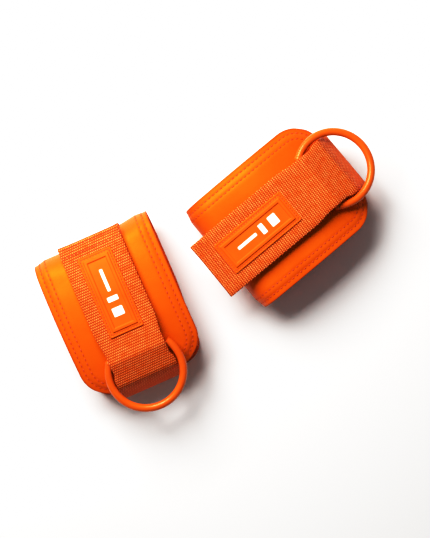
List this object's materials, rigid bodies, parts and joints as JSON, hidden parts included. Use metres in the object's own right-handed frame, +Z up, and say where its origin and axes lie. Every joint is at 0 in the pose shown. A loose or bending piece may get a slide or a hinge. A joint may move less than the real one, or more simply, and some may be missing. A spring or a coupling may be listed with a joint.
{
  "type": "pair of gym ankle straps",
  "caption": "Padded ankle cuffs for a cable machine, each closed by a webbing strap with hook-and-loop and carrying a D-ring for a snap hook.",
  "frame": {"origin": "centre of the pair's footprint, on the floor", "axes": "+X along the pair's longest side, across the left strap; +Y away from the left strap's ring; +Z up"},
  "size_m": [0.2769, 0.1652, 0.055],
  "materials": {
    "shell": "satin coated synthetic leather",
    "foam": "soft closed-cell foam",
    "lining": "soft knitted lining",
    "thread": "bonded thread",
    "webbing": "coarse plain-weave webbing",
    "loop_pile": "loop pile tape",
    "hook_pile": "hook tape",
    "ring": "satin powder coat",
    "badge": "matt moulded rubber",
    "emblem": "matt white"
  },
  "bodies": {
    "left_strap": {"left_outer_shell": "shell", "left_foam_pad": "foam", "left_lining": "lining", "left_edge_stitching": "thread", "left_base_webbing": "webbing", "left_keeper_stitching": "thread", "left_loop_tape": "loop_pile", "left_strap_bridge": "webbing"},
    "left_ring": {"left_d_ring": "ring"},
    "left_flap": {"left_strap_flap": "webbing", "left_hook_tape": "hook_pile", "left_hem_stitching": "thread", "left_badge_body": "badge", "left_badge_emblem": "emblem", "left_badge_stitching": "thread"},
    "right_strap": {"right_outer_shell": "shell", "right_foam_pad": "foam", "right_lining": "lining", "right_edge_stitching": "thread", "right_base_webbing": "webbing", "right_keeper_stitching": "thread", "right_loop_tape": "loop_pile", "right_strap_bridge": "webbing"},
    "right_ring": {"right_d_ring": "ring"},
    "right_flap": {"right_strap_flap": "webbing", "right_hook_tape": "hook_pile", "right_hem_stitching": "thread", "right_badge_body": "badge", "right_badge_emblem": "emblem", "right_badge_stitching": "thread"}
  },
  "joints": [
    {"name": "left_ring_swing", "type": "hinge", "parent": "left_strap", "child": "left_ring", "pos_m": [-0.0894, -0.0341, 0.04489], "axis": [-1, 0, 0], "range_deg": [0, 95]},
    {"name": "left_flap_peel", "type": "hinge", "parent": "left_strap", "child": "left_flap", "pos_m": [-0.0894, -0.0261, 0.05196], "axis": [1, 0, 0], "range_deg": [0, 85]},
    {"name": "right_strap_lift", "type": "slide", "parent": "left_strap", "child": "right_strap", "axis": [0, 0, 1], "range_m": [0, 0.2]},
    {"name": "right_ring_swing", "type": "hinge", "parent": "right_strap", "child": "right_ring", "pos_m": [0.0906, 0.0295, 0.04489], "axis": [0.2807, -0.9598, 0], "range_deg": [0, 95]},
    {"name": "right_flap_peel", "type": "hinge", "parent": "right_strap", "child": "right_flap", "pos_m": [0.08292, 0.02726, 0.05196], "axis": [-0.2807, 0.9598, 0], "range_deg": [0, 85]}
  ]
}
